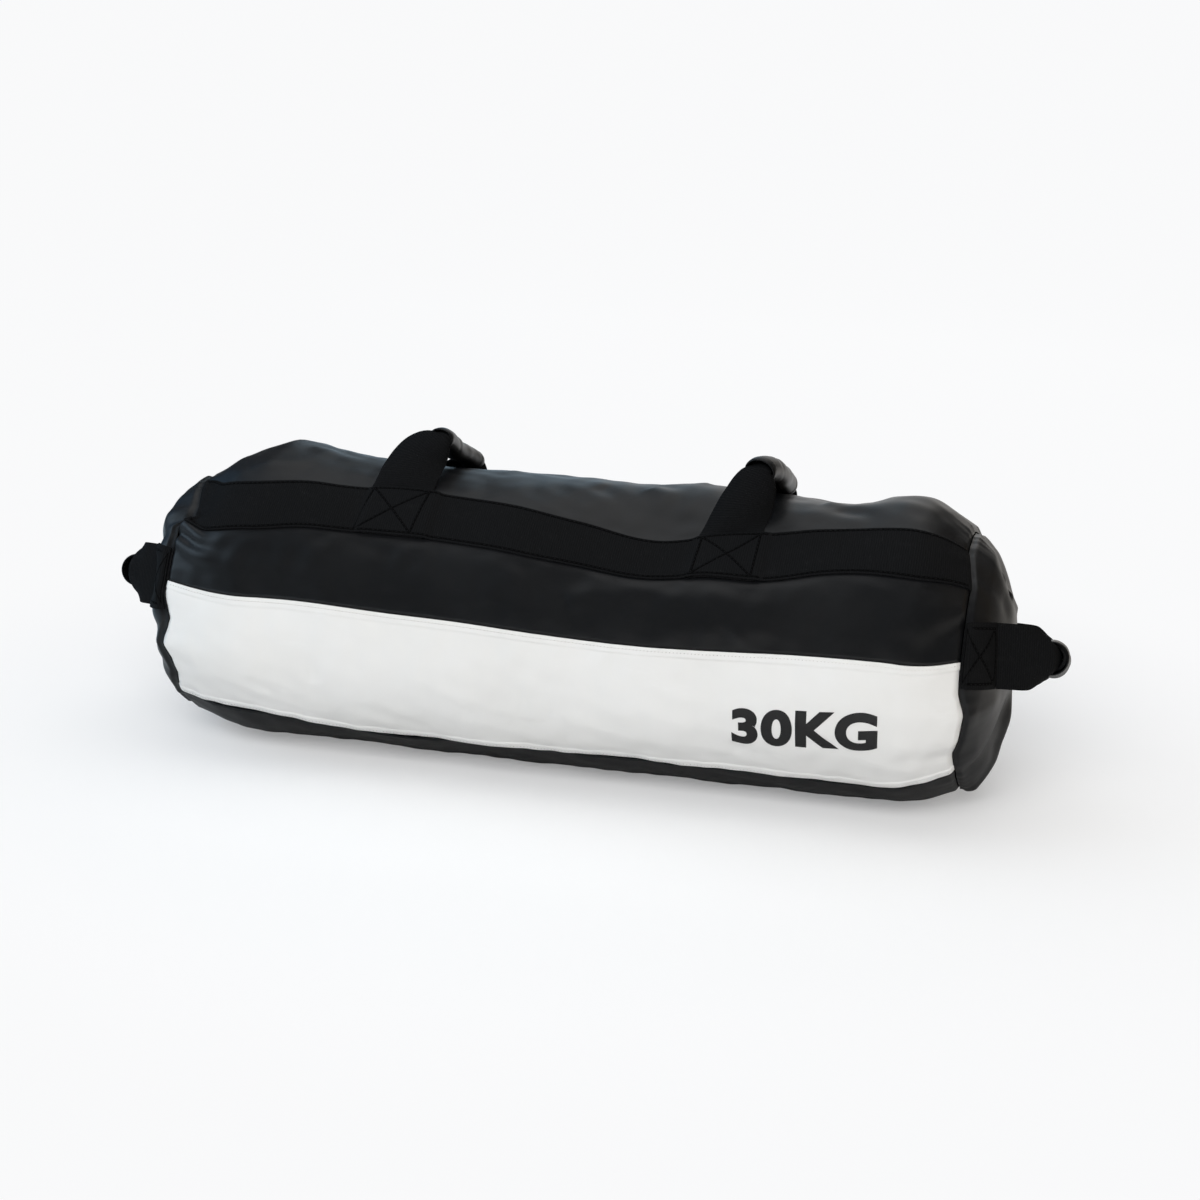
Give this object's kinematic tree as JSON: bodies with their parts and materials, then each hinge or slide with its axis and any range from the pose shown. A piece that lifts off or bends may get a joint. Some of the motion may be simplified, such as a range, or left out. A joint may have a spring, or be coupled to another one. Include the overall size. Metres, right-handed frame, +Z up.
{
  "type": "sandbag_trainer",
  "caption": "Soft round sandbag trainer in black vinyl with a light front panel, two webbing straps, two padded grips across its top and one across each end.",
  "frame": {"origin": "On the floor, under the middle of the whole object's box. Up is +Z.", "axes": "X runs along the bag, +X to the picture's right end. -Y is the front with the light panel. +Z is up."},
  "size_m": [0.7744, 0.2505, 0.2702],
  "materials": {
    "black_vinyl": "satin",
    "white_vinyl": "satin",
    "black_webbing": "matte",
    "grip_vinyl": "satin",
    "core_plastic": "matte",
    "zip_tape": "matte",
    "zip_coil": "satin",
    "zip_metal": "satin",
    "filler_cloth": "matte",
    "closure_tape": "matte",
    "sand": "matte"
  },
  "bodies": {
    "bag": {"base_panel": "black_vinyl", "top_panel": "black_vinyl", "end_cap_left": "black_vinyl", "end_cap_right": "black_vinyl", "front_panel": "white_vinyl", "front_strap": "black_webbing", "rear_strap": "black_webbing", "top_handle_left_front_tail": "black_webbing", "top_handle_left_rear_tail": "black_webbing", "top_handle_right_front_tail": "black_webbing", "top_handle_right_rear_tail": "black_webbing", "end_handle_left_front_tail": "black_webbing", "end_handle_left_rear_tail": "black_webbing", "end_handle_right_front_tail": "black_webbing", "end_handle_right_rear_tail": "black_webbing", "zip_upper_tape": "zip_tape", "zip_lower_tape": "zip_tape", "zip_upper_coil": "zip_coil", "zip_lower_coil": "zip_coil", "zip_stop_left": "zip_metal", "zip_stop_right": "zip_metal", "filler_bag_left": "filler_cloth", "sand_left": "sand", "hook_tape_left": "closure_tape", "loop_tape_left": "closure_tape", "filler_bag_middle": "filler_cloth", "sand_middle": "sand", "hook_tape_middle": "closure_tape", "loop_tape_middle": "closure_tape", "filler_bag_right": "filler_cloth", "sand_right": "sand", "hook_tape_right": "closure_tape", "loop_tape_right": "closure_tape"},
    "top_handle_left": {"top_handle_left_webbing": "black_webbing", "top_handle_left_core": "core_plastic", "top_handle_left_grip": "grip_vinyl"},
    "top_handle_right": {"top_handle_right_webbing": "black_webbing", "top_handle_right_core": "core_plastic", "top_handle_right_grip": "grip_vinyl"},
    "end_handle_left": {"end_handle_left_webbing": "black_webbing", "end_handle_left_core": "core_plastic", "end_handle_left_grip": "grip_vinyl"},
    "end_handle_right": {"end_handle_right_webbing": "black_webbing", "end_handle_right_core": "core_plastic", "end_handle_right_grip": "grip_vinyl"},
    "zip_slider": {"zip_slider": "zip_metal"},
    "zip_pull": {"zip_pull": "zip_metal"}
  },
  "joints": [
    {"name": "top_handle_left_hinge", "type": "hinge", "parent": "bag", "child": "top_handle_left", "pos_m": [-0.13815, -0.04401, 0.22399], "axis": [0, -0.9711, 0.2386], "range_deg": [0, 52], "deforming": ["top_handle_left_webbing"]},
    {"name": "top_handle_right_hinge", "type": "hinge", "parent": "bag", "child": "top_handle_right", "pos_m": [0.12545, -0.0505, 0.21158], "axis": [0, -0.9902, 0.1399], "range_deg": [0, 52], "deforming": ["top_handle_right_webbing"]},
    {"name": "end_handle_left_hinge", "type": "hinge", "parent": "bag", "child": "end_handle_left", "pos_m": [-0.34427, -0.06626, 0.14149], "axis": [-0.0013, 0.9493, -0.3145], "range_deg": [-45, 45], "deforming": ["end_handle_left_webbing"]},
    {"name": "end_handle_right_hinge", "type": "hinge", "parent": "bag", "child": "end_handle_right", "pos_m": [0.33419, -0.06642, 0.14155], "axis": [0.0021, 0.9493, -0.3145], "range_deg": [-48, 48], "deforming": ["end_handle_right_webbing"]},
    {"name": "zip_slider_slide", "type": "slide", "parent": "bag", "child": "zip_slider", "axis": [-1, 0, 0], "range_m": [0, 0.47]},
    {"name": "zip_pull_hinge", "type": "hinge", "parent": "zip_slider", "child": "zip_pull", "pos_m": [0.24335, 0.12729, 0.1081], "axis": [0, -0.0698, -0.9976], "range_deg": [0, 175]}
  ]
}
